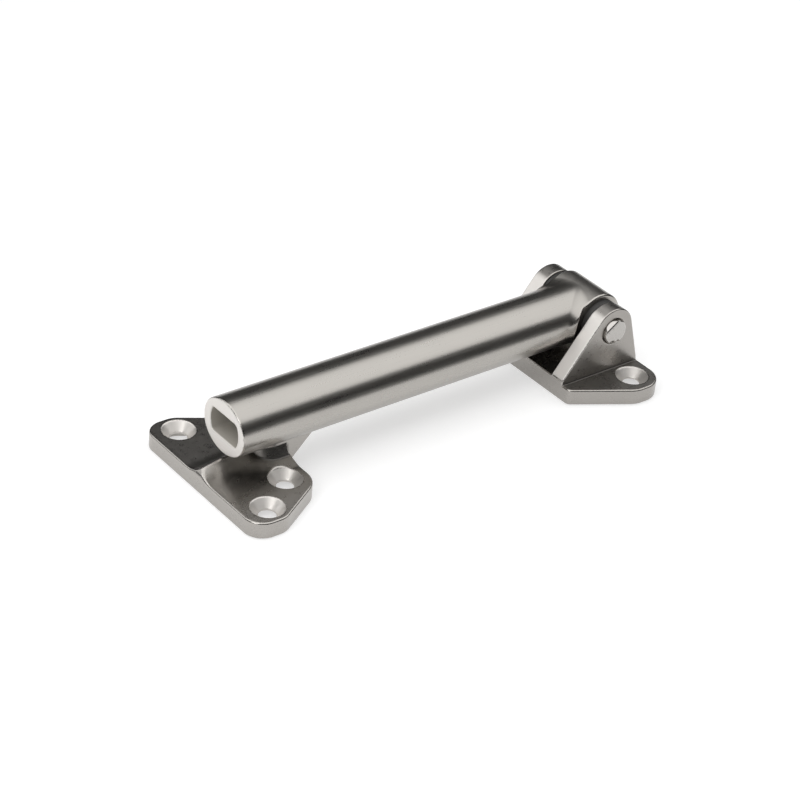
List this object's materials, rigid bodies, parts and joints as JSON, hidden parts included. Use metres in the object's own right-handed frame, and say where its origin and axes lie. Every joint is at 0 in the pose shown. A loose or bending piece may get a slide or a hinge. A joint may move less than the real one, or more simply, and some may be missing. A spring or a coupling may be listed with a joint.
{
  "type": "door restrictor",
  "caption": "Door restrictor with a hinged hollow oval arm on an eared screw-on bracket, sliding over a screw-on catch plate whose neck runs in a slot along the arm's underside.",
  "frame": {"origin": "midway between the bracket's two screw holes, on the plane that the bracket and the catch plate sit on", "axes": "+X from the arm's free end towards the hinge, Y along the pivot axis, +Z away from the seating plane"},
  "size_m": [0.1531, 0.0604, 0.0276],
  "materials": {
    "bracket_steel": "satin cast stainless steel",
    "arm_steel": "satin stainless steel, ground along the arm",
    "catch_steel": "satin cast stainless steel",
    "pin_steel": "turned stainless steel",
    "bush_plastic": "moulded matt",
    "glide_plastic": "moulded matt"
  },
  "bodies": {
    "bracket": {"hinge_bracket": "bracket_steel", "pivot_pin": "pin_steel"},
    "arm": {"arm": "arm_steel", "knuckle_bush_near": "bush_plastic", "knuckle_bush_far": "bush_plastic"},
    "slider": {"glide_near": "glide_plastic", "glide_far": "glide_plastic"},
    "catch": {"catch_plate": "catch_steel", "cross_pin": "pin_steel"}
  },
  "joints": [
    {"name": "arm_swing", "type": "hinge", "parent": "bracket", "child": "arm", "pos_m": [-0.0042, 0, 0.01885], "axis": [0, 1, 0], "range_deg": [0, 180]},
    {"name": "catch_slide", "type": "slide", "parent": "arm", "child": "slider", "axis": [1, 0, 0], "range_m": [0, 0.062]},
    {"name": "plate_tilt", "type": "hinge", "parent": "slider", "child": "catch", "pos_m": [-0.1178, 0, 0.01885], "axis": [0, -1, 0], "range_deg": [0, 40]}
  ]
}
